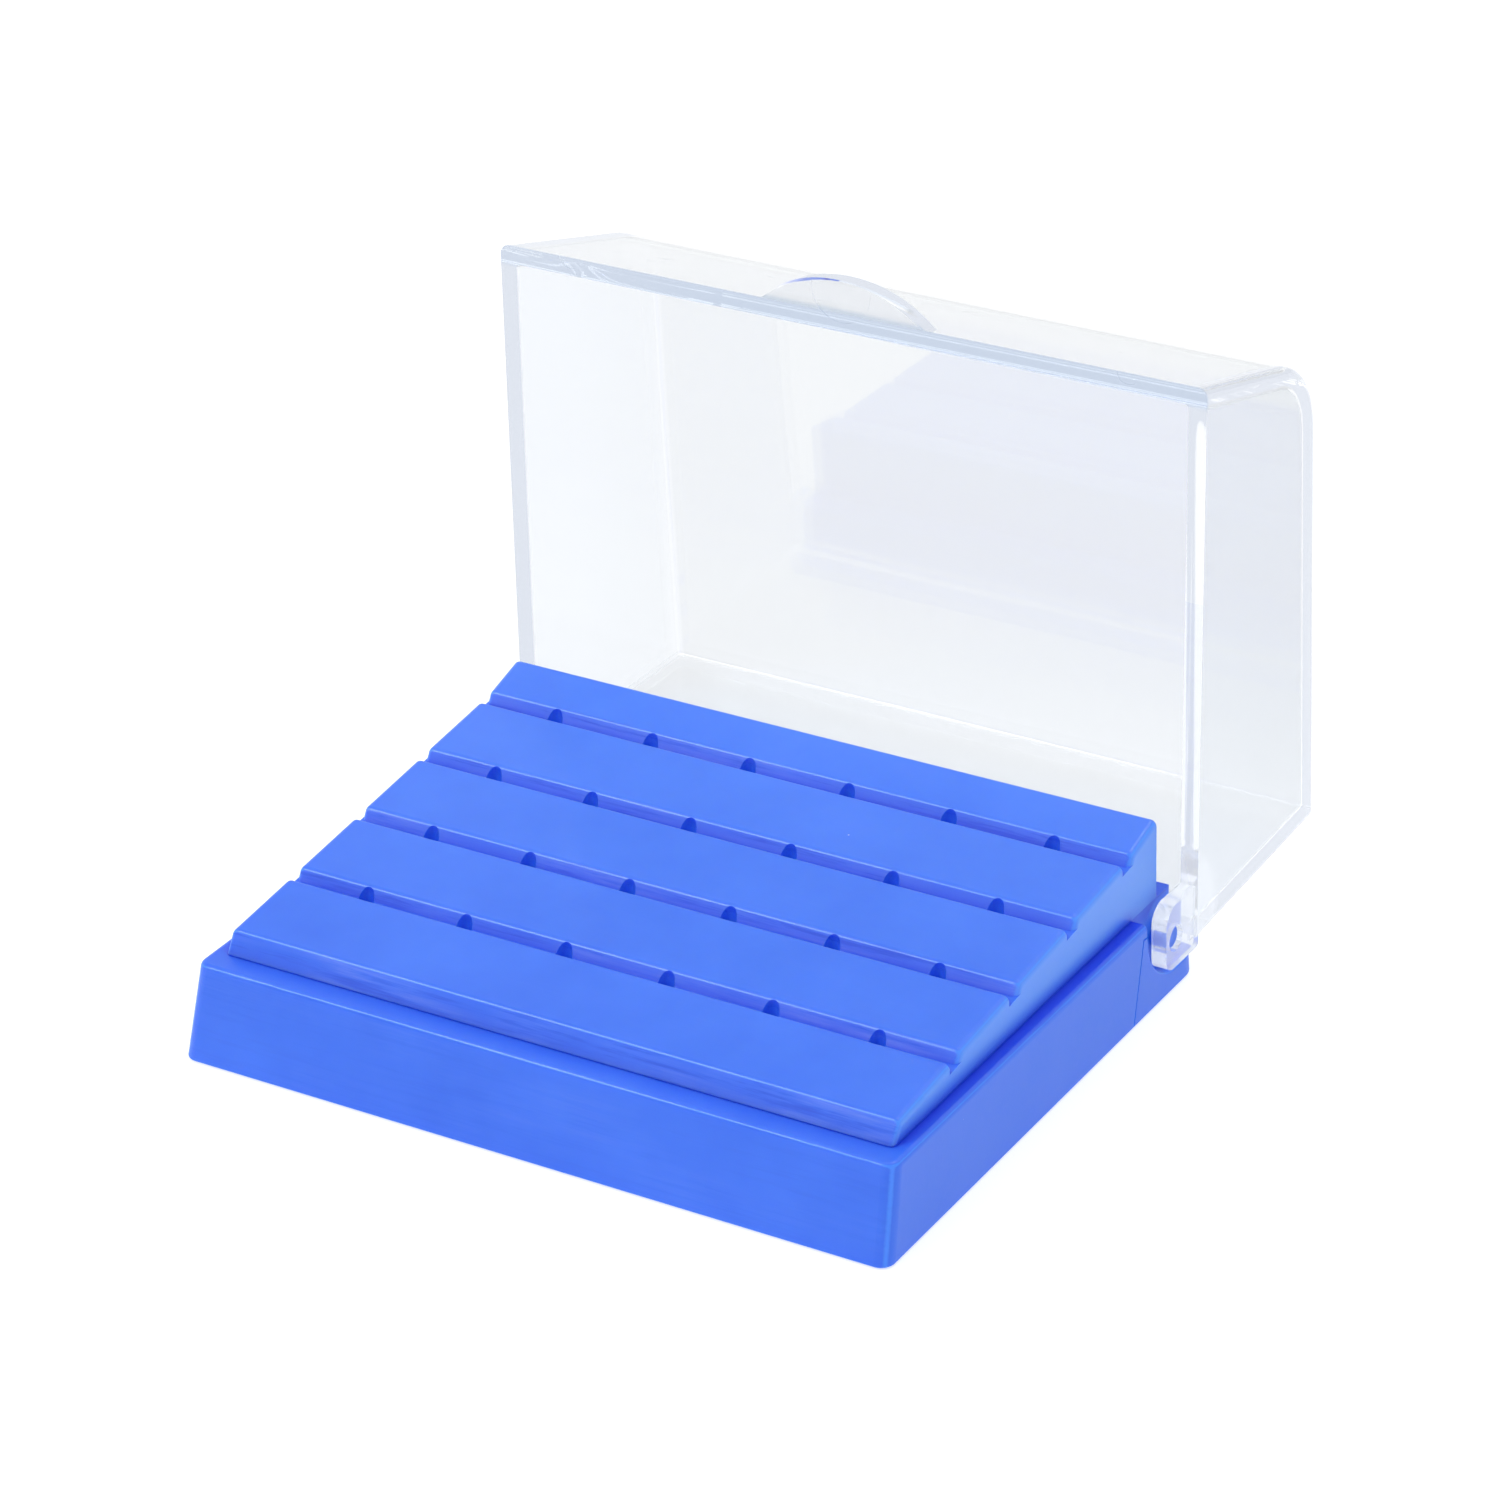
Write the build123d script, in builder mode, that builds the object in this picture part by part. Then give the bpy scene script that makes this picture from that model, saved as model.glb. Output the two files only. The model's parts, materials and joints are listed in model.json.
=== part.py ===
"""Stepped bur block with a hinged clear lid.

A low plinth carries a stepped block with four rows of six vertical sockets for drill burs.
A clear lid hangs on two hinge pins at the back of the plinth. It is modelled open, just past
upright, where its ears come down on the floors of their pockets.

Millimetres, +Z up, +X to the right, -Y towards the user. The origin is the centre of the
face that the plinth rests on.
"""

from build123d import *

import os
from math import cos, radians, sin, tan

# ---- plinth ----
FOOT_WIDTH = 72.0  # across the bottom edge
FOOT_DEPTH = 57.0
LEDGE_WIDTH = 71.0  # across the ledge round the block
LEDGE_FRONT = -26.0
LEDGE_REAR = 26.9
LEDGE_Z = 8.7
LEDGE_ROUND = 0.55
LUG_ROUND = 0.5
FOOT_ROUND = 0.2
FRONT_CORNER_R = 1.3
REAR_CORNER_R = 2.5
PLINTH_WALL = 2.0
DECK = 2.4  # thickness under the ledge
LIP_Z = 1.95  # rear lip and the floors of the ear pockets
LIP_ROUND = 0.2
SEAM_WIDTH = 0.18  # witness line of the side core, in front of each pocket
SEAM_DEPTH = 0.18
SEAM_TOP = (18.4, 7.5)
SEAM_FOOT = (15.8, 0.3)

# ---- hinge ----
HINGE_Y = 23.95
HINGE_Z = 5.05
PIN_R = 1.2
EAR_BORE_R = 1.3
LUG_OUT = 33.9  # outer face of the lug, flush with the side of the block
LUG_IN = 30.6
POCKET_FRONT = 19.2
POCKET_CORNER_R = 4.8
PIN_GRIP = 3.0  # length held in the lug
PIN_OUT = 35.55
PIN_CHAMFER = 0.2
LUG_FRONT = 17.6

# ---- block ----
BLOCK_HALF_WIDTH = 34.0
BLOCK_REAR = 24.15
BLOCK_REAR_Z = 16.65
FIRST_TOP_Y = -22.3  # front top edge of the front step
COLUMN_PITCH = 10.5
ROW_PITCH = 10.43
ROW_RISE = 1.15  # each row stands this much higher than the one before it
ROWS = 4
COLUMNS = 6
FIRST_ROW_Y = -12.96
FIRST_FLOOR_Z = 10.75  # bottom of the front groove
GROOVE_FRONT = 0.72  # from a row's line forward to the edge of its groove
GROOVE_REAR = 1.05  # and back to the next step's front edge
GROOVE_DEPTH = 0.9  # below the edge in front of it
RISER_HEIGHT = 1.15  # from the groove's floor to the next step's front edge
RISER_LEAN = radians(33)  # from upright
TREAD_SLOPE = radians(6)
SIDE_ROUND = 0.65
FRONT_ROUND = 0.6
REAR_ROUND = 0.4
FIRST_FRONT_ROUND = 0.5
FOOT_GAP = 0.1  # the block's outer edge stands clear of the ledge
SEAT_INSET = 0.4
SOCKET_R = 0.85
SOCKET_BACK = 0.17  # sockets sit behind the middle of their groove
SOCKET_BOTTOM = 1.8
BOSS_R = 2.2
BOSS_BOTTOM = 0.9
SKIRT_HALF_WIDTH = 30.0
SKIRT_FRONT = -20.4
SKIRT_REAR = 21.0
SKIRT_WALL = 1.6
SKIRT_BOTTOM = 1.2
SKIRT_GAP = 0.15
ROOF = 2.6  # block thickness under the groove floors
CATCH = 0.5  # how far the skirt's snap ridges stand out under the deck
CATCH_GAP = 0.05
CATCH_LENGTH = 12.0
CATCH_HEIGHT = 1.2
CATCH_X = 16.0

# ---- lid ----
LID_OPEN = radians(91)  # angle between the closed lid and the rest pose
LID_WALL = 1.75
LID_HALF_WIDTH = 36.2  # at the rim
LID_TOP_HALF_WIDTH = 35.35
RIM = 3.7  # closed: height of the rim above the hinge axis
RIM_REAR = 2.2  # closed: rim's rear edge behind the hinge axis
RIM_FRONT = -51.85
TOP_REAR_HEIGHT = 29.95
TOP_SLOPE = radians(3.2)  # the closed lid's top drops towards the front
TOP_REAR = 1.65
TOP_FRONT = -44.75
BROW_ROUND = 8.5  # between the lid's top and its front wall
LID_ROUND = 1.0
INNER_ROUND = 0.4
TAB_CHORD = 16.5
TAB_REACH = 3.0
TAB_THICKNESS = 1.7
RIM_RELIEF = 0.95  # the rear wall stops this much short, to swing clear of the ledge
RELIEF_HALF_WIDTH = 34.2
EAR_THICKNESS = 1.5
EAR_REAR = 2.95  # closed: the ear stands out behind the rear wall
EAR_BELOW = 1.85  # closed: from the axis to the ear's lower edge
EAR_ROUND = 1.45
EAR_SHOULDER = 4.5  # closed: top of the part behind the rear wall
EAR_SHOULDER_R = 0.5
EAR_TOE = (-2.0, -1.95)  # closed: front end of the ear's lower edge
EAR_CHEEK = (-3.05, -1.3)
EAR_NECK = (-3.5, 0.3)  # closed: from here the front edge runs straight up to the rim
EAR_ROOT = 1.0  # how far the ear runs up inside the wall
TAB_ROOT = 1.0
TAB_MARK_OUT = 2.1  # centre of the tab's ejector mark beyond the rim's front edge
TAB_MARK_R = 3.0
RIM_MARK_X = 28.6
RIM_MARK_R = 1.1
MARK_DEPTH = 0.1

DRAFT_X = (FOOT_WIDTH - LEDGE_WIDTH) / 2
FOOT_Z = LEDGE_Z + FOOT_GAP  # bottom of the block's outer edge
FIRST_TREAD = FIRST_ROW_Y - GROOVE_FRONT - FIRST_TOP_Y
FIRST_TOP_Z = FIRST_FLOOR_Z + GROOVE_DEPTH - FIRST_TREAD * tan(TREAD_SLOPE)
BLOCK_FRONT = FIRST_TOP_Y - (FIRST_TOP_Z - FOOT_Z) * tan(RISER_LEAN)
FOOT_FRONT = -FOOT_DEPTH / 2
FOOT_REAR = FOOT_DEPTH / 2

# The lid's own frame: origin on the hinge axis, local Z up and local Y to the rear when closed.
LID_FRAME = Plane(
    origin=(0, HINGE_Y, HINGE_Z), x_dir=(1, 0, 0), z_dir=(0, sin(LID_OPEN), cos(LID_OPEN))
)


def row_y(row):
    return FIRST_ROW_Y + row * ROW_PITCH


def floor_z(row):
    return FIRST_FLOOR_Z + row * ROW_RISE


def socket_points(row):
    y = row_y(row) + SOCKET_BACK
    return [((c - (COLUMNS - 1) / 2) * COLUMN_PITCH, y) for c in range(COLUMNS)]


def rectangle_between(front, rear, half_width):
    """Sketch a rectangle from front to rear, centred on x = 0."""
    with Locations((0, (front + rear) / 2)):
        return Rectangle(2 * half_width, rear - front)


# ---- base_plinth: tapered tray with a ledge, a rear lip and two hinge lugs ----
with BuildPart() as base_plinth:
    with BuildSketch(Plane.XY):
        rectangle_between(FOOT_FRONT, FOOT_REAR, FOOT_WIDTH / 2)
    with BuildSketch(Plane.XY.offset(LEDGE_Z)):
        rectangle_between(LEDGE_FRONT, FOOT_REAR, LEDGE_WIDTH / 2)
    loft()
    upright = base_plinth.edges().filter_by(lambda e: abs(e.tangent_at(0.5).Z) > 0.5)
    fillet(upright.group_by(Axis.Y)[0], radius=FRONT_CORNER_R)
    upright = base_plinth.edges().filter_by(lambda e: abs(e.tangent_at(0.5).Z) > 0.5)
    fillet(upright.group_by(Axis.Y)[-1], radius=REAR_CORNER_R)
    fillet(base_plinth.faces().sort_by(Axis.Z)[0].edges(), radius=FOOT_ROUND)
    # step down to the rear lip
    with BuildSketch(Plane.XY.offset(LIP_Z)):
        rectangle_between(LEDGE_REAR, FOOT_REAR + 1, FOOT_WIDTH)
    extrude(amount=LEDGE_Z, mode=Mode.SUBTRACT)
    ledge = base_plinth.faces().sort_by(Axis.Z)[-1].edges()
    fillet(ledge.sort_by(Axis.Y)[:-1], radius=LEDGE_ROUND)
    # pockets for the lid's ears, open at the top, the side and the back
    for side in (-1, 1):
        with BuildSketch(Plane.YZ.offset(side * LUG_OUT)):
            with BuildLine():
                start = (POCKET_FRONT, LEDGE_Z + 1)
                foot = (POCKET_FRONT, LIP_Z + POCKET_CORNER_R)
                Line(start, foot)
                JernArc(foot, (0, -1), POCKET_CORNER_R, 90)
                Polyline((POCKET_FRONT + POCKET_CORNER_R, LIP_Z), (FOOT_REAR + 1, LIP_Z),
                         (FOOT_REAR + 1, LEDGE_Z + 1), start)
            make_face()
        extrude(amount=side * 5, mode=Mode.SUBTRACT)
    lug_top = (0, LEDGE_REAR, LEDGE_Z)
    lug_edges = base_plinth.edges().filter_by(Axis.X).sort_by_distance(lug_top)[:1]
    for side in (-1, 1):
        corner = (side * LUG_OUT, LEDGE_REAR, LEDGE_Z / 2)
        lug_edges += base_plinth.edges().filter_by(Axis.Z).sort_by_distance(corner)[:1]
    fillet(lug_edges, radius=LUG_ROUND)
    lip_edges = base_plinth.edges().filter_by(lambda e: abs(e.center().Z - LIP_Z) < 0.01)
    fillet(lip_edges.sort_by(Axis.Y)[-1:], radius=LIP_ROUND)
    # shallow witness line on each drafted side
    for side in (-1, 1):
        side_face = Plane(origin=(side * FOOT_WIDTH / 2, 0, 0), x_dir=(0, side, 0),
                          z_dir=(side * LEDGE_Z, 0, DRAFT_X))
        with BuildSketch(side_face):
            with BuildLine():
                seam = Polyline((side * POCKET_FRONT, SEAM_TOP[1]),
                                (side * SEAM_TOP[0], SEAM_TOP[1]),
                                (side * SEAM_FOOT[0], SEAM_FOOT[1]))
                offset(seam, amount=SEAM_WIDTH / 2, side=Side.BOTH)
            make_face()
        extrude(amount=-SEAM_DEPTH, mode=Mode.SUBTRACT)

    # hollow underside: outer walls, a deck round the block's opening, and solid lugs
    deck_z = LEDGE_Z - DECK
    front_draft = (LEDGE_FRONT - FOOT_FRONT) * deck_z / LEDGE_Z
    with BuildSketch(Plane.XY):
        rectangle_between(FOOT_FRONT + PLINTH_WALL, LEDGE_REAR - PLINTH_WALL,
                          LEDGE_WIDTH / 2 - PLINTH_WALL)
    with BuildSketch(Plane.XY.offset(deck_z)):
        rectangle_between(FOOT_FRONT + front_draft + PLINTH_WALL, LEDGE_REAR - PLINTH_WALL,
                          LEDGE_WIDTH / 2 - PLINTH_WALL)
    loft(mode=Mode.SUBTRACT)
    with BuildSketch(Plane.XY):
        for side in (-1, 1):
            with Locations((side * (LUG_OUT + LUG_IN) / 2, (LUG_FRONT + LEDGE_REAR) / 2)):
                Rectangle(LUG_OUT - LUG_IN, LEDGE_REAR - LUG_FRONT)
    extrude(amount=deck_z + DECK / 2)
    with BuildSketch(Plane.XY):
        rectangle_between(SKIRT_FRONT - SKIRT_GAP, SKIRT_REAR + SKIRT_GAP,
                          SKIRT_HALF_WIDTH + SKIRT_GAP)
    extrude(amount=LEDGE_Z + 1, mode=Mode.SUBTRACT)
    # pin bores in the lugs
    for side in (-1, 1):
        with BuildSketch(Plane.YZ.offset(side * LUG_OUT)):
            with Locations((HINGE_Y, HINGE_Z)):
                Circle(PIN_R)
        extrude(amount=-side * PIN_GRIP, mode=Mode.SUBTRACT)
base_plinth.part.label = "base_plinth"


# ---- bur_block: stepped top on a skirt that drops through the plinth's deck ----
def floor_plane_z(y):
    """Height of the slope through the groove floors."""
    return floor_z(0) + (y - row_y(0)) * ROW_RISE / ROW_PITCH


def step(row):
    """One step, from its leaning riser back to the next groove, down to the block's foot."""
    top = (row_y(row - 1) + GROOVE_REAR, floor_z(row - 1) + RISER_HEIGHT)
    rear = row_y(row) - GROOVE_FRONT
    rear_z = floor_z(row) + GROOVE_DEPTH
    if row == 0:
        top = (FIRST_TOP_Y, FIRST_TOP_Z)
    if row == ROWS:
        rear = BLOCK_REAR
        rear_z = BLOCK_REAR_Z
    foot_y = top[0] - (top[1] - FOOT_Z) * tan(RISER_LEAN)
    with BuildPart() as form:
        with BuildSketch(Plane.YZ):
            Polygon((foot_y, FOOT_Z), top, (rear, rear_z), (rear, FOOT_Z), align=None)
        extrude(amount=BLOCK_HALF_WIDTH, both=True)
        tread = form.faces().filter_by(lambda f: f.normal_at().Z > 0.9)[0]
        fillet(tread.edges().group_by(Axis.X)[0] + tread.edges().group_by(Axis.X)[-1],
               radius=SIDE_ROUND)
        front_edge = form.edges().filter_by(Axis.X).sort_by_distance((0, *top))[0]
        fillet(front_edge, radius=FIRST_FRONT_ROUND if row == 0 else FRONT_ROUND)
        rear_edge = form.edges().filter_by(Axis.X).sort_by_distance((0, rear, rear_z))[0]
        fillet(rear_edge, radius=REAR_ROUND)
    return form.part


steps = [step(row) for row in range(ROWS + 1)]
with BuildPart() as bur_block:
    for form in steps:
        add(form)
    # body under the groove floors
    body_front = row_y(0) - 2 * GROOVE_FRONT
    body_rear = row_y(ROWS - 1) + 2 * GROOVE_REAR
    with BuildSketch(Plane.YZ):
        Polygon((body_front, FOOT_Z), (body_front, floor_plane_z(body_front)),
                (body_rear, floor_plane_z(body_rear)), (body_rear, FOOT_Z), align=None)
    extrude(amount=BLOCK_HALF_WIDTH, both=True)
    # seat on the ledge, set in from the block's outline
    with BuildSketch(Plane.XY.offset(LEDGE_Z)):
        rectangle_between(BLOCK_FRONT + SEAT_INSET, BLOCK_REAR - SEAT_INSET,
                          BLOCK_HALF_WIDTH - SEAT_INSET)
    extrude(amount=FOOT_GAP)
    # skirt, open below
    with BuildSketch(Plane.XY.offset(SKIRT_BOTTOM)):
        rectangle_between(SKIRT_FRONT, SKIRT_REAR, SKIRT_HALF_WIDTH)
    extrude(amount=LEDGE_Z - SKIRT_BOTTOM)
    inner_front = SKIRT_FRONT + SKIRT_WALL
    inner_rear = SKIRT_REAR - SKIRT_WALL
    with BuildSketch(Plane.YZ):
        Polygon((inner_front, 0), (inner_front, floor_plane_z(inner_front) - ROOF),
                (inner_rear, floor_plane_z(inner_rear) - ROOF), (inner_rear, 0), align=None)
    extrude(amount=SKIRT_HALF_WIDTH - SKIRT_WALL, both=True, mode=Mode.SUBTRACT)
    # centre post, which carries the middle of the block on the worktop
    with BuildSketch(Plane.XY):
        Circle(BOSS_R)
    extrude(amount=floor_plane_z(0) - ROOF / 2)
    # sockets, each with a boss below the groove floor
    for row in range(ROWS):
        with BuildSketch(Plane.XY.offset(BOSS_BOTTOM)):
            with Locations(*socket_points(row)):
                Circle(BOSS_R)
        extrude(amount=floor_z(row) - ROOF / 2 - BOSS_BOTTOM)
    for row in range(ROWS):
        with BuildSketch(Plane.XY.offset(SOCKET_BOTTOM)):
            with Locations(*socket_points(row)):
                Circle(SOCKET_R)
        extrude(amount=BLOCK_REAR_Z, mode=Mode.SUBTRACT)
    # snap ridges on the skirt, caught under the deck
    catch_z = LEDGE_Z - DECK - CATCH_GAP
    for face_y, out in ((SKIRT_FRONT, -1), (SKIRT_REAR, 1)):
        for x in (-CATCH_X, CATCH_X):
            with BuildSketch(Plane.YZ.offset(x)):
                Polygon((face_y, catch_z), (face_y + out * CATCH, catch_z),
                        (face_y, catch_z - CATCH_HEIGHT), align=None)
            extrude(amount=CATCH_LENGTH / 2, both=True)
bur_block.part.label = "bur_block"


# ---- lid: drafted clear shell with two ears and a thumb tab, drawn in its own frame ----
def lid_form(inset):
    """The lid's drafted block, drawn in by a wall thickness for its hollow (0 for the outside)."""
    top_tilt = LID_OPEN - TOP_SLOPE
    with BuildPart() as form:
        with BuildSketch(LID_FRAME.offset(RIM)):
            rectangle_between(RIM_FRONT + inset, RIM_REAR - inset, LID_HALF_WIDTH - inset)
        with BuildSketch(LID_FRAME.offset(TOP_REAR_HEIGHT)):
            rectangle_between(TOP_FRONT + inset, TOP_REAR - inset, LID_TOP_HALF_WIDTH - inset)
        loft()
        # the top slopes down towards the front
        top_edge = LID_FRAME.from_local_coords((0, TOP_REAR, TOP_REAR_HEIGHT - inset))
        split(
            bisect_by=Plane(top_edge, x_dir=(1, 0, 0), z_dir=(0, sin(top_tilt), cos(top_tilt))),
            keep=Keep.BOTTOM,
        )
        brow = LID_FRAME.from_local_coords((0, TOP_FRONT, TOP_REAR_HEIGHT))
        fillet(form.edges().sort_by_distance(brow)[0], radius=BROW_ROUND - inset)
        rim = form.faces().sort_by(Axis.Y)[0].edges()
        fillet([edge for edge in form.edges() if edge not in rim],
               radius=max(LID_ROUND - inset, INNER_ROUND))
    return form.part


lid_outside = lid_form(0)
lid_hollow = lid_form(LID_WALL)
with BuildPart() as lid:
    add(lid_outside)
    add(lid_hollow, mode=Mode.SUBTRACT)
    # the rear wall stops short of the rim between the ears
    with BuildSketch(LID_FRAME.offset(RIM)):
        rectangle_between(0, RIM_REAR + 1, RELIEF_HALF_WIDTH)
    extrude(amount=RIM_RELIEF, mode=Mode.SUBTRACT)
    # ears: they hang below the rear of the side walls and turn on the pins
    ear_in = LID_HALF_WIDTH - LID_WALL
    ear_top = RIM + EAR_ROOT
    for side in (-1, 1):
        with BuildSketch(Plane(LID_FRAME.origin, x_dir=LID_FRAME.y_dir, z_dir=(1, 0, 0))
                         .offset(side * ear_in)):
            with BuildLine():
                shoulder = (EAR_REAR - EAR_SHOULDER_R, EAR_SHOULDER)
                Polyline(EAR_NECK, (EAR_NECK[0], ear_top), (RIM_REAR - LID_WALL / 2, ear_top),
                         (RIM_REAR - LID_WALL / 2, EAR_SHOULDER), shoulder)
                JernArc(shoulder, (1, 0), EAR_SHOULDER_R, -90)
                heel = (EAR_REAR, EAR_ROUND - EAR_BELOW)
                Line((EAR_REAR, EAR_SHOULDER - EAR_SHOULDER_R), heel)
                JernArc(heel, (0, -1), EAR_ROUND, -90)
                Line((EAR_REAR - EAR_ROUND, -EAR_BELOW), EAR_TOE)
                ThreePointArc(EAR_TOE, EAR_CHEEK, EAR_NECK)
            make_face()
            Circle(EAR_BORE_R, mode=Mode.SUBTRACT)
        extrude(amount=side * EAR_THICKNESS)
    # thumb tab on the front rim
    tab_r = (TAB_CHORD**2 / 4 + TAB_REACH**2) / (2 * TAB_REACH)
    with BuildSketch(LID_FRAME.offset(RIM)):
        with Locations((0, RIM_FRONT - TAB_REACH + tab_r)):
            Circle(tab_r)
        with Locations((0, RIM_FRONT + TAB_ROOT + tab_r)):
            Rectangle(3 * tab_r, 2 * tab_r, mode=Mode.SUBTRACT)
    extrude(amount=TAB_THICKNESS)
    # shallow ejector-pin marks on the front rim
    with BuildSketch(LID_FRAME.offset(RIM)):
        with Locations((0, RIM_FRONT - TAB_MARK_OUT)):
            Circle(TAB_MARK_R)
        with Locations((-RIM_MARK_X, RIM_FRONT), (RIM_MARK_X, RIM_FRONT)):
            Circle(RIM_MARK_R)
    extrude(amount=MARK_DEPTH, mode=Mode.SUBTRACT)
lid.part.label = "lid"

# ---- hinge pins ----
with BuildPart() as hinge_pin_right:
    with BuildSketch(Plane.YZ.offset(LUG_OUT - PIN_GRIP)):
        with Locations((HINGE_Y, HINGE_Z)):
            Circle(PIN_R)
    extrude(amount=PIN_GRIP + PIN_OUT - LUG_OUT)
    chamfer(hinge_pin_right.edges().group_by(Axis.X)[-1], length=PIN_CHAMFER)
hinge_pin_right.part.label = "hinge_pin_right"

with BuildPart() as hinge_pin_left:
    mirror(hinge_pin_right.part, about=Plane.YZ)
hinge_pin_left.part.label = "hinge_pin_left"

PARTS = [base_plinth.part, bur_block.part, lid.part, hinge_pin_left.part, hinge_pin_right.part]
os.makedirs("parts", exist_ok=True)
for part in PARTS:
    export_step(part, f"parts/{part.label}.step")
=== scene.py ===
"""Looks of the stepped bur block with its clear hinged lid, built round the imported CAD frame."""
import json

import bpy
from mathutils import Matrix, Vector

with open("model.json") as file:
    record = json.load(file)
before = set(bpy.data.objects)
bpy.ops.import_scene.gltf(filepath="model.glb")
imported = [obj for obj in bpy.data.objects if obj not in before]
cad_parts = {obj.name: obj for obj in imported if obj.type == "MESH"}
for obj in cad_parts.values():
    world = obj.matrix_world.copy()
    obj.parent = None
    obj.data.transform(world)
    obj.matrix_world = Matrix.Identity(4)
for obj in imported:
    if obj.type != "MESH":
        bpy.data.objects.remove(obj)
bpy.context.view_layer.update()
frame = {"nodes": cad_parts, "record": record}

NODES = frame["nodes"]
HINGE = tuple(frame["record"]["behaviour"]["joints"][0]["pos_m"])

# ---- blue plastic: linear colours ----
DEEP_BLUE = (0.020, 0.135, 0.77)
MID_BLUE = (0.034, 0.165, 0.83)
# painted light for the higher steps
HIGH_STEP_PAINTED_LIGHT = (0.125, 0.29, 0.88)
# painted highlight for rounded edges
EDGE_PAINTED_HIGHLIGHT = (0.07, 0.33, 1.0)
# rubbed streaks, their paleness partly a painted sheen
RUB_AND_SHEEN_PALE = (0.17, 0.29, 0.86)
RUB_DARK = (0.014, 0.095, 0.66)
# painted shade for the corners and creases
CREASE_PAINTED_SHADE = (0.006, 0.042, 0.72)
# painted light for deep holes
HOLLOW_PAINTED_LIGHT = (0.05, 0.22, 1.0)
DUST_BLUE = (0.55, 0.66, 0.95)
# painted light and shade for the faces that look left or right
PLINTH_SIDE_PAINTED_LIGHT = (0.025, 0.152, 0.80)
BLOCK_SIDE_PAINTED_LIGHT = (0.080, 0.285, 0.90)

# ---- blue plastic: zones in metres, each pair from where it starts to where it is complete ----
STEPS_Z = (0.010, 0.017)  # painted light brightens the steps from front to back
CREASE_REACH = 0.0058
CREASE_START_Z = (0.0070, 0.0080)
CREASE_GROOVE_Z = (0.0098, 0.0108)
CREASE_HINGE_Y = (0.021, 0.024)

# ---- blue plastic: weights, and pairs of noise, normal or openness values ----
SIDEWAYS = (0.35, 0.95)
LEANING = (0.45, 0.8)
ROUNDED = (0.83, 0.72)  # largest part of the normal, from nearly flat to 45 degrees
EDGE_HIGHLIGHT_WEIGHT = 0.55
PALE_STREAK = (0.42, 0.72)
PALE_PATCH = (0.38, 0.62)
PALE_LEAST = 0.05
DARK_STREAK = (0.46, 0.34)
CREASE_OPENNESS = (0.95, 0.58)
HOLLOW_OPENNESS = (0.40, 0.20)
GROOVE_CREASE = 0.45
HINGE_CREASE = 0.5
SPECKS_PER_METRE = 330
SPECK_SIZE = (0.045, 0.030)
SPECK_RARITY = (0.69, 0.72)
BLUE_ROUGHNESS = (0.36, 0.48)
BLUE_SCATTER = 0.0016  # how far light travels under the surface, in metres

# ---- clear plastic: how much light each surface passes, with painted light and shade by zone ----
CLEAR = (0.785, 0.80, 0.815)
FRONT_WALL_PAINTED_LIGHT = (0.85, 0.86, 0.87)
SIDE_WALL_PAINTED_LIGHT = (0.828, 0.848, 0.872)
OUTER_BAND_PAINTED_LIGHT = (0.91, 0.92, 0.93)
RIM_FACE_PAINTED_SHADE = (0.51, 0.61, 0.75)
TAB_PAINTED_LIGHT = (0.90, 0.91, 0.93)
CLEAR_SHADOW = (0.96, 0.975, 0.995)
MILK = (0.92, 0.94, 0.97)
MILK_PAINTED_GLOW = (0.90, 0.95, 1.0)
# painted glow for light trapped inside the walls
TRAPPED_PAINTED_GLOW = (0.80, 0.84, 0.92)
MILK_GLOW_STRENGTH = 0.34
MILKINESS = 0.16
TRAPPED_DEPTH = 5.0  # surfaces met before the light counts as trapped
CLEAR_ROUGHNESS = (0.01, 0.04)
EAR_ROUGHNESS = 0.07

# ---- clear plastic: zones in the open lid, in metres ----
EAR_RADIUS = (0.0085, 0.0070)
FRONT_WALL_LEAN = 0.27  # the front wall drops this much for each metre back
FRONT_WALL = (0.0618, 0.0624)  # height of its inner face, with the lean taken out
SIDE_WALL_X = (0.0336, 0.0342)
OUTER_BAND_Y = (0.0505, 0.0525)
RIM_FACE_Y = (0.02890, 0.02875)
RIM_FACE_Z = (0.0547, 0.0551)
RIM_FACE_X = (-0.036, -0.010)
RIM_LEFT_WEIGHT = 0.7
TAB_Z = (0.0570, 0.0574)

# ---- stage ----
FLOOR_TONES = ((0.56, 0.56, 0.56), (0.58, 0.58, 0.58))
FLOOR_GLOW = (0.50, 0.60)  # in the light it throws, and as the camera sees it
FLOOR_HALF = 2.0
FLOOR_DROP = 0.0001
WORLD_COLOUR = (0.97, 0.985, 1.0)
WORLD_STRENGTH = 0.82
LIGHT_TARGET = (0, 0, 0.01)
CAMERA_PLACE = (0.219284, -0.341134, 0.240815)
CAMERA_RIGHT = (0.856838, 0.514661, -0.03088)
CAMERA_UP = (-0.217545, 0.415183, 0.883344)
CAMERA_BACK = (0.467444, -0.750165, 0.467706)
CAMERA_LENS = 126.14
CAMERA_SENSOR = 36.0


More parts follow.
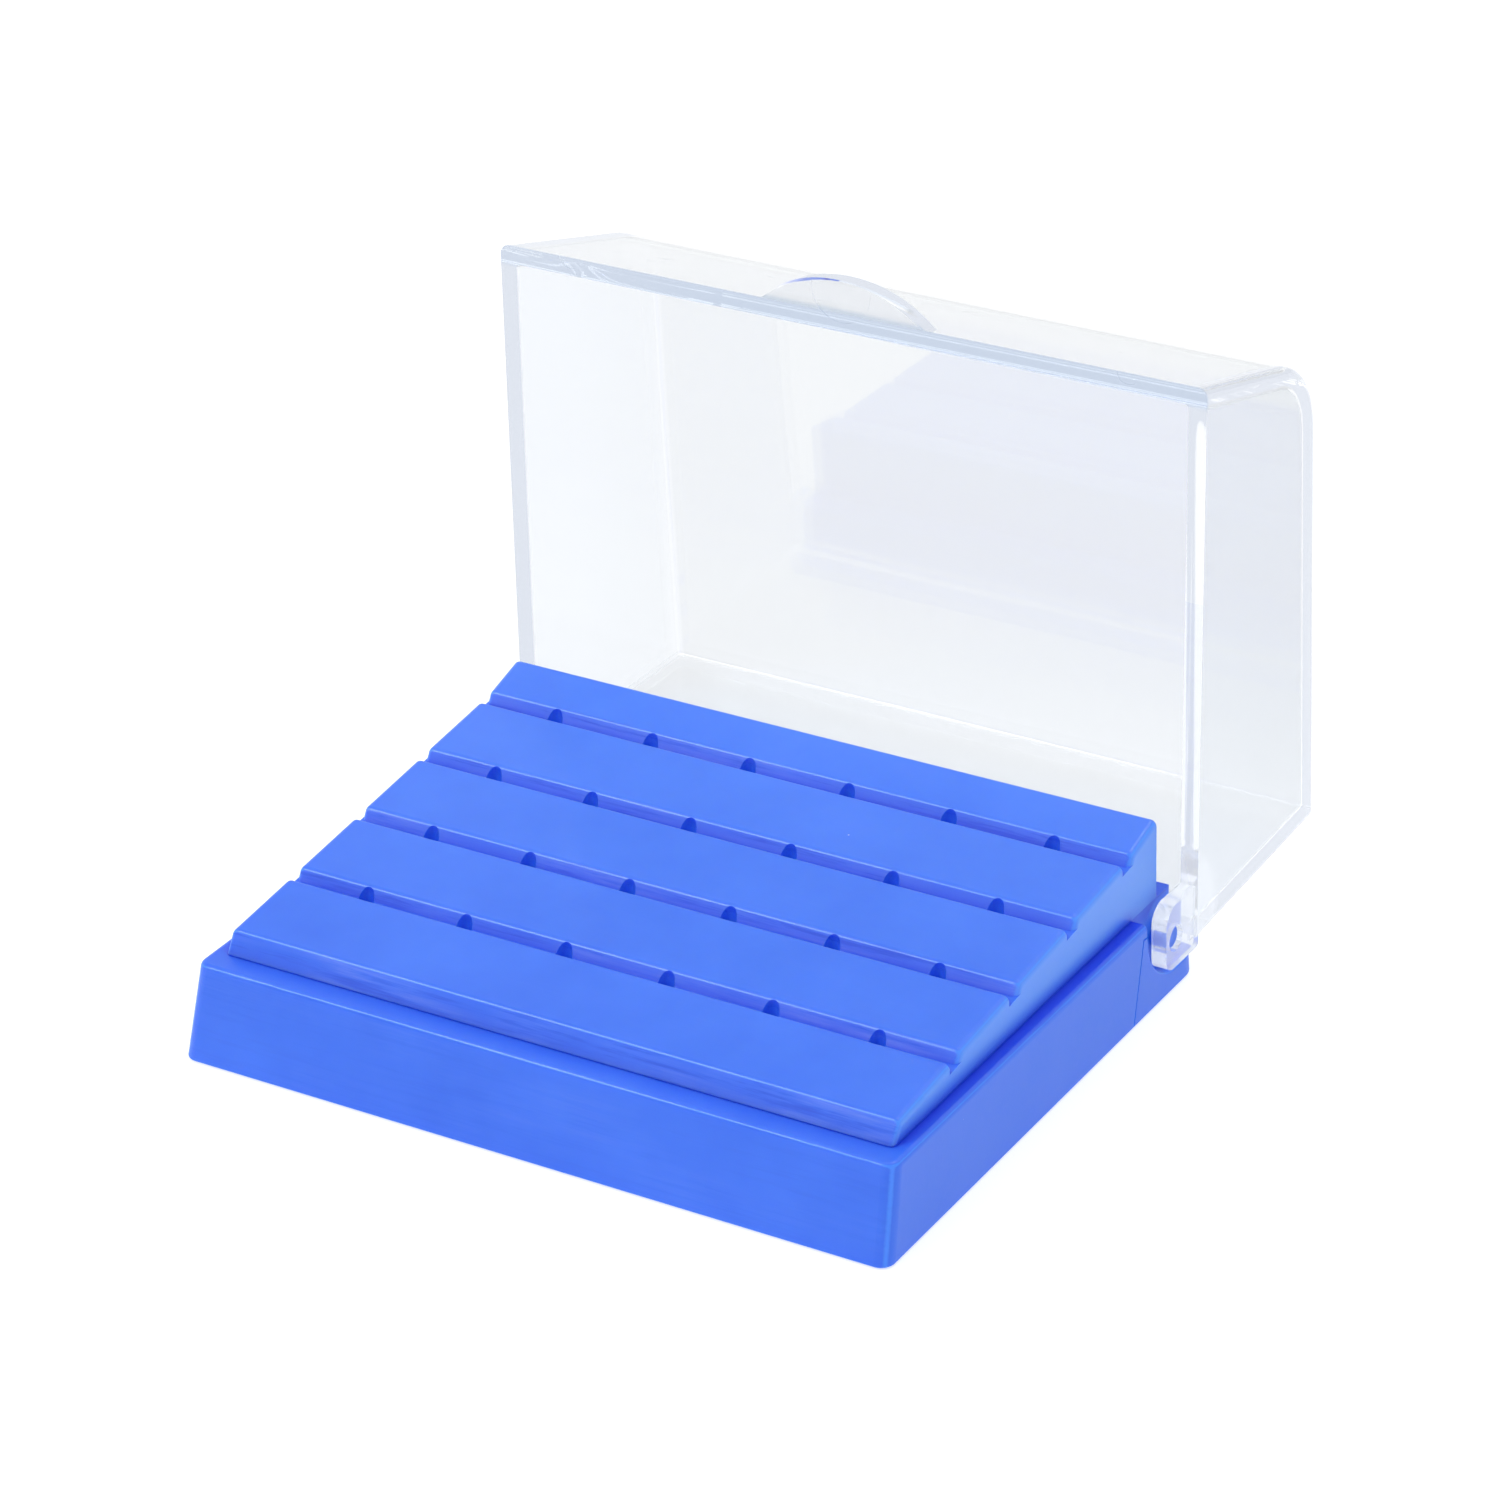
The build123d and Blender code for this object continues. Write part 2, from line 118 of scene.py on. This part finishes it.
# ---- node helpers -------------------------------------------------------------------------------
class Graph:
    """A small wrapper that adds and links shader nodes."""

    def __init__(self, tree):
        self.tree = tree
        tree.nodes.clear()

    def node(self, kind, **settings):
        made = self.tree.nodes.new("ShaderNode" + kind)
        for key, value in settings.items():
            setattr(made, key, value)
        return made

    def set(self, socket, value):
        if isinstance(value, bpy.types.NodeSocket):
            self.tree.links.new(value, socket)
        elif isinstance(value, (tuple, list)) and len(value) == 3 and socket.type == "RGBA":
            socket.default_value = (*value, 1.0)
        else:
            socket.default_value = value

    def coords(self, scale=(1, 1, 1)):
        """Object coordinates in metres, scaled."""
        mapping = self.node("Mapping")
        self.set(mapping.inputs["Vector"], self.node("TexCoord").outputs["Object"])
        self.set(mapping.inputs["Scale"], scale)
        return mapping.outputs["Vector"]

    def noise(self, scale, detail=2.0, rough=0.5, stretch=(1, 1, 1), distortion=0.0):
        made = self.node("TexNoise")
        self.set(made.inputs["Vector"], self.coords(stretch))
        for name, value in (("Scale", scale), ("Detail", detail), ("Roughness", rough),
                            ("Distortion", distortion)):
            self.set(made.inputs[name], value)
        return made.outputs["Fac"]

    def remap(self, value, low, high, to_low=0.0, to_high=1.0):
        made = self.node("MapRange")
        for name, given in (("Value", value), ("From Min", low), ("From Max", high),
                            ("To Min", to_low), ("To Max", to_high)):
            self.set(made.inputs[name], given)
        return made.outputs["Result"]

    def math(self, operation, *values):
        made = self.node("Math", operation=operation)
        for socket, value in zip(made.inputs, values):
            self.set(socket, value)
        return made.outputs[0]

    def product(self, first, *others):
        for other in others:
            first = self.math("MULTIPLY", first, other)
        return first

    def axes(self, vector):
        """The vector's X, Y and Z."""
        made = self.node("SeparateXYZ")
        self.set(made.inputs[0], vector)
        return made.outputs["X"], made.outputs["Y"], made.outputs["Z"]

    def mix(self, factor, a, b):
        made = self.node("Mix", data_type="RGBA")
        self.set(made.inputs["Factor"], factor)
        self.set(made.inputs[6], a)
        self.set(made.inputs[7], b)
        return made.outputs[2]

    def openness(self, distance):
        """1 on open faces, 0 deep in a hole, looking this far in metres."""
        made = self.node("AmbientOcclusion", samples=8)
        self.set(made.inputs["Distance"], distance)
        return made.outputs["AO"]

    def bump(self, height, strength, distance, normal=None):
        made = self.node("Bump")
        self.set(made.inputs["Height"], height)
        self.set(made.inputs["Strength"], strength)
        self.set(made.inputs["Distance"], distance)
        if normal is not None:
            self.set(made.inputs["Normal"], normal)
        return made.outputs["Normal"]

    def principled(self, **inputs):
        made = self.node("BsdfPrincipled")
        for name, value in inputs.items():
            self.set(made.inputs[name.replace("_", " ")], value)
        return made.outputs["BSDF"]

    def shader_mix(self, factor, a, b):
        made = self.node("MixShader")
        self.set(made.inputs[0], factor)
        self.set(made.inputs[1], a)
        self.set(made.inputs[2], b)
        return made.outputs[0]

    def output(self, surface):
        made = self.node("OutputMaterial")
        self.set(made.inputs["Surface"], surface)


def new_material(name):
    material = bpy.data.materials.new(name)
    material.use_nodes = True
    return material, Graph(material.node_tree)


# ---- materials ----------------------------------------------------------------------------------
def blue_plastic(name, side_painted_light, step_painted_light, rub_and_sheen):
    """Waxy moulded plastic: soft sheen, rubbed streaks along X, a few specks of dust.

    The side colour is painted light and shade on the faces that look left or right, the step
    weight paints light that brightens the higher steps, and the rubbing weight says how strongly
    the leaning front faces are streaked and given a painted sheen.
    """
    material, g = new_material(name)
    cloud = g.noise(90, detail=3, rough=0.6)
    streak = g.noise(1500, detail=4, rough=0.7, stretch=(0.05, 1, 1))
    patch = g.noise(170, detail=2, stretch=(0.35, 1, 1))
    colour = g.mix(g.remap(cloud, 0.3, 0.7), DEEP_BLUE, MID_BLUE)

    geometry = g.node("NewGeometry")
    normal_x, normal_y, normal_z = g.axes(geometry.outputs["Normal"])
    steep_x, steep_y, steep_z = (g.math("ABSOLUTE", n) for n in (normal_x, normal_y, normal_z))
    _, at_y, at_z = g.axes(geometry.outputs["Position"])
    # painted light and shade: faces that look left or right take a lighter or greyer blue
    colour = g.mix(g.remap(steep_x, *SIDEWAYS), colour, side_painted_light)
    # painted light: the higher steps are lightened towards a paler blue
    colour = g.mix(g.remap(at_z, *STEPS_Z, 0, step_painted_light), colour, HIGH_STEP_PAINTED_LIGHT)
    # rounded edges get a painted highlight, a paler blue where the normal lies between two faces
    steepest = g.math("MAXIMUM", steep_x, g.math("MAXIMUM", steep_y, steep_z))
    colour = g.mix(g.remap(steepest, *ROUNDED, 0, EDGE_HIGHLIGHT_WEIGHT), colour, EDGE_PAINTED_HIGHLIGHT)

    # faces that lean towards the user are rubbed, pale in some streaks and dark in others;
    # the pale is partly a painted sheen, for the light these faces catch from the front-left lamp
    leaning = g.remap(g.math("MULTIPLY", normal_y, -1.0), *LEANING)
    pale = g.product(g.remap(streak, *PALE_STREAK), g.remap(patch, *PALE_PATCH),
                     g.remap(leaning, 0, 1, PALE_LEAST, rub_and_sheen))
    colour = g.mix(pale, colour, RUB_AND_SHEEN_PALE)
    dark = g.product(g.remap(streak, *DARK_STREAK, 0, rub_and_sheen), leaning)
    colour = g.mix(dark, colour, RUB_DARK)

    # painted shade: the corners are darkened to a deeper blue, fully so round the block's
    # foot, less in the grooves and by the hinge, and not at all down by the table
    openness = g.openness(CREASE_REACH)
    crease_shade = g.product(g.remap(openness, *CREASE_OPENNESS),
                       g.remap(at_y, *CREASE_HINGE_Y, 1, HINGE_CREASE),
                       g.remap(at_z, *CREASE_START_Z),
                       g.remap(at_z, *CREASE_GROOVE_Z, 1, GROOVE_CREASE))
    colour = g.mix(crease_shade, colour, CREASE_PAINTED_SHADE)
    # painted light: deep holes are lifted back to a bright blue
    colour = g.mix(g.remap(openness, *HOLLOW_OPENNESS), colour, HOLLOW_PAINTED_LIGHT)

    specks = g.node("TexVoronoi", feature="F1")
    g.set(specks.inputs["Vector"], g.coords())
    g.set(specks.inputs["Scale"], SPECKS_PER_METRE)
    rare = g.noise(190, detail=0)
    dust = g.product(g.remap(specks.outputs["Distance"], *SPECK_SIZE),
                     g.remap(rare, *SPECK_RARITY))
    colour = g.mix(dust, colour, DUST_BLUE)

    rough = g.remap(g.math("ADD", g.math("MULTIPLY", cloud, 0.5), g.math("MULTIPLY", streak, 0.5)),
                    0.3, 0.7, *BLUE_ROUGHNESS)
    grain = g.noise(2600, detail=2)
    normal = g.bump(grain, 0.05, 0.00005)
    normal = g.bump(streak, 0.12, 0.00006, normal)
    normal = g.bump(cloud, 0.10, 0.0002, normal)
    surface = g.principled(Base_Color=colour, Roughness=rough, IOR=1.46, Normal=normal,
                           Subsurface_Weight=0.5, Subsurface_Scale=BLUE_SCATTER,
                           Subsurface_Radius=(0.10, 0.40, 1.0),
                           Coat_Weight=0.22, Coat_Roughness=0.16, Coat_IOR=1.5)
    g.output(surface)
    return material


def clear_plastic():
    """Clear polystyrene: refracting, faintly tinted, finely scratched, with painted light, shade
    and glow.
    """
    material, g = new_material("clear_styrene")
    scratch = g.noise(420, detail=2, rough=0.6, stretch=(1, 1, 0.06), distortion=0.4)
    haze = g.noise(60, detail=2)
    wavy = g.noise(38, detail=1)
    rough = g.remap(haze, 0.35, 0.7, *CLEAR_ROUGHNESS)
    normal = g.bump(wavy, 0.10, 0.0006)
    normal = g.bump(g.remap(scratch, 0.68, 0.74), 0.10, 0.00003, normal)
    at_x, at_y, at_z = g.axes(g.coords())
    from_hinge = g.node("VectorMath", operation="DISTANCE")
    g.set(from_hinge.inputs[0], g.coords((0, 1, 1)))
    g.set(from_hinge.inputs[1], HINGE)
    ear = g.remap(from_hinge.outputs["Value"], *EAR_RADIUS)
    rough = g.math("ADD", rough, g.product(ear, EAR_ROUGHNESS))

    # painted light and shade: walls, outer band and tab pass more light, the rim's narrow face less
    front_wall = g.math("MULTIPLY_ADD", at_y, FRONT_WALL_LEAN, at_z)
    tint_and_painted_light = g.mix(g.remap(front_wall, *FRONT_WALL), CLEAR, FRONT_WALL_PAINTED_LIGHT)
    side_wall = g.remap(g.math("ABSOLUTE", at_x), *SIDE_WALL_X)
    tint_and_painted_light = g.mix(side_wall, tint_and_painted_light, SIDE_WALL_PAINTED_LIGHT)
    tint_and_painted_light = g.mix(g.product(side_wall, g.remap(at_y, *OUTER_BAND_Y)), tint_and_painted_light, OUTER_BAND_PAINTED_LIGHT)
    rim_face = g.product(g.remap(at_y, *RIM_FACE_Y), g.remap(at_z, *RIM_FACE_Z),
                         g.remap(at_x, *RIM_FACE_X, RIM_LEFT_WEIGHT, 1))
    tint_and_painted_light = g.mix(rim_face, tint_and_painted_light, RIM_FACE_PAINTED_SHADE)
    tint_and_painted_light = g.mix(g.remap(at_z, *TAB_Z), tint_and_painted_light, TAB_PAINTED_LIGHT)
    glass = g.principled(Base_Color=tint_and_painted_light, Roughness=rough, IOR=1.56,
                         Normal=normal, Transmission_Weight=1.0)
    # the ears are rubbed milky, and glow faintly with painted light
    milk_and_glow = g.principled(Base_Color=MILK, Roughness=0.3,
                        Emission_Color=MILK_PAINTED_GLOW, Emission_Strength=MILK_GLOW_STRENGTH)
    glass = g.shader_mix(g.product(ear, MILKINESS), glass, milk_and_glow)

    path = g.node("LightPath")
    # painted glow: deep rays see an even pale emission in place of light trapped in the walls
    painted_trapped_glow = g.node("Emission")
    g.set(painted_trapped_glow.inputs["Color"], TRAPPED_PAINTED_GLOW)
    deep = g.math("GREATER_THAN", path.outputs["Ray Depth"], TRAPPED_DEPTH)
    body = g.shader_mix(deep, glass, painted_trapped_glow.outputs[0])
    pass_light = g.node("BsdfTransparent")
    g.set(pass_light.inputs["Color"], CLEAR_SHADOW)
    g.output(g.shader_mix(path.outputs["Is Shadow Ray"], body, pass_light.outputs[0]))
    return material


def floor_paper():
    """White backdrop, lifted a little so that it reads as bright as a lit sweep."""
    material, g = new_material("white_backdrop")
    tone = g.mix(g.noise(3, detail=1), *FLOOR_TONES)
    matt = g.node("BsdfDiffuse")
    g.set(matt.inputs["Color"], tone)
    glow = g.node("Emission")
    g.set(glow.inputs["Color"], (1, 1, 1))
    path = g.node("LightPath")
    g.set(glow.inputs["Strength"], g.remap(path.outputs["Is Camera Ray"], 0, 1, *FLOOR_GLOW))
    both = g.node("AddShader")
    g.set(both.inputs[0], matt.outputs[0])
    g.set(both.inputs[1], glow.outputs[0])
    g.output(both.outputs[0])
    return material


def dress(node, material):
    data = NODES[node].data
    data.materials.clear()
    data.materials.append(material)


blue = blue_plastic("blue_plastic_body", PLINTH_SIDE_PAINTED_LIGHT, step_painted_light=0.0, rub_and_sheen=0.15)
dress("base_plinth", blue)
dress("bur_block", blue_plastic("blue_plastic_block", BLOCK_SIDE_PAINTED_LIGHT, step_painted_light=0.35, rub_and_sheen=0.80))
dress("hinge_pin_left", blue)
dress("hinge_pin_right", blue)
dress("lid", clear_plastic())


# ---- stage, light and camera --------------------------------------------------------------------
def add_floor():
    half = FLOOR_HALF
    mesh = bpy.data.meshes.new("studio_floor")
    corners = [(-half, -half, 0), (half, -half, 0), (half, half, 0), (-half, half, 0)]
    mesh.from_pydata(corners, [], [(0, 1, 2, 3)])
    floor = bpy.data.objects.new("studio_floor", mesh)
    floor.location.z = -FLOOR_DROP
    bpy.context.scene.collection.objects.link(floor)
    mesh.materials.append(floor_paper())


def add_area(name, place, size, power):
    light = bpy.data.lights.new(name, "AREA")
    light.shape = "SQUARE"
    light.size = size
    light.energy = power
    lamp = bpy.data.objects.new(name, light)
    lamp.location = place
    lamp.rotation_mode = "QUATERNION"
    lamp.rotation_quaternion = (Vector(LIGHT_TARGET) - Vector(place)).to_track_quat("-Z", "Y")
    bpy.context.scene.collection.objects.link(lamp)


def add_world():
    world = bpy.data.worlds.new("studio")
    bpy.context.scene.world = world
    world.use_nodes = True
    g = Graph(world.node_tree)
    back = g.node("Background")
    g.set(back.inputs["Color"], WORLD_COLOUR)
    g.set(back.inputs["Strength"], WORLD_STRENGTH)
    out = g.node("OutputWorld")
    g.set(out.inputs["Surface"], back.outputs[0])


def add_camera():
    data = bpy.data.cameras.new("camera")
    data.lens = CAMERA_LENS
    data.sensor_width = CAMERA_SENSOR
    data.clip_start = 0.01
    camera = bpy.data.objects.new("camera", data)
    rows = [*zip(CAMERA_RIGHT, CAMERA_UP, CAMERA_BACK, CAMERA_PLACE), (0, 0, 0, 1)]
    camera.matrix_world = Matrix(rows)
    bpy.context.scene.collection.objects.link(camera)
    bpy.context.scene.camera = camera


add_floor()
add_world()
add_area("key_front_left", (-0.43, -0.42, 0.66), size=0.22, power=2.2)
add_area("top_back", (0.10, 0.35, 0.85), size=0.30, power=1.6)
add_camera()

scene = bpy.context.scene
scene.view_settings.view_transform = "Standard"
scene.cycles.use_denoising = True
scene.cycles.transmission_bounces = 16
scene.cycles.glossy_bounces = 12
scene.cycles.transparent_max_bounces = 16
scene.cycles.max_bounces = 20
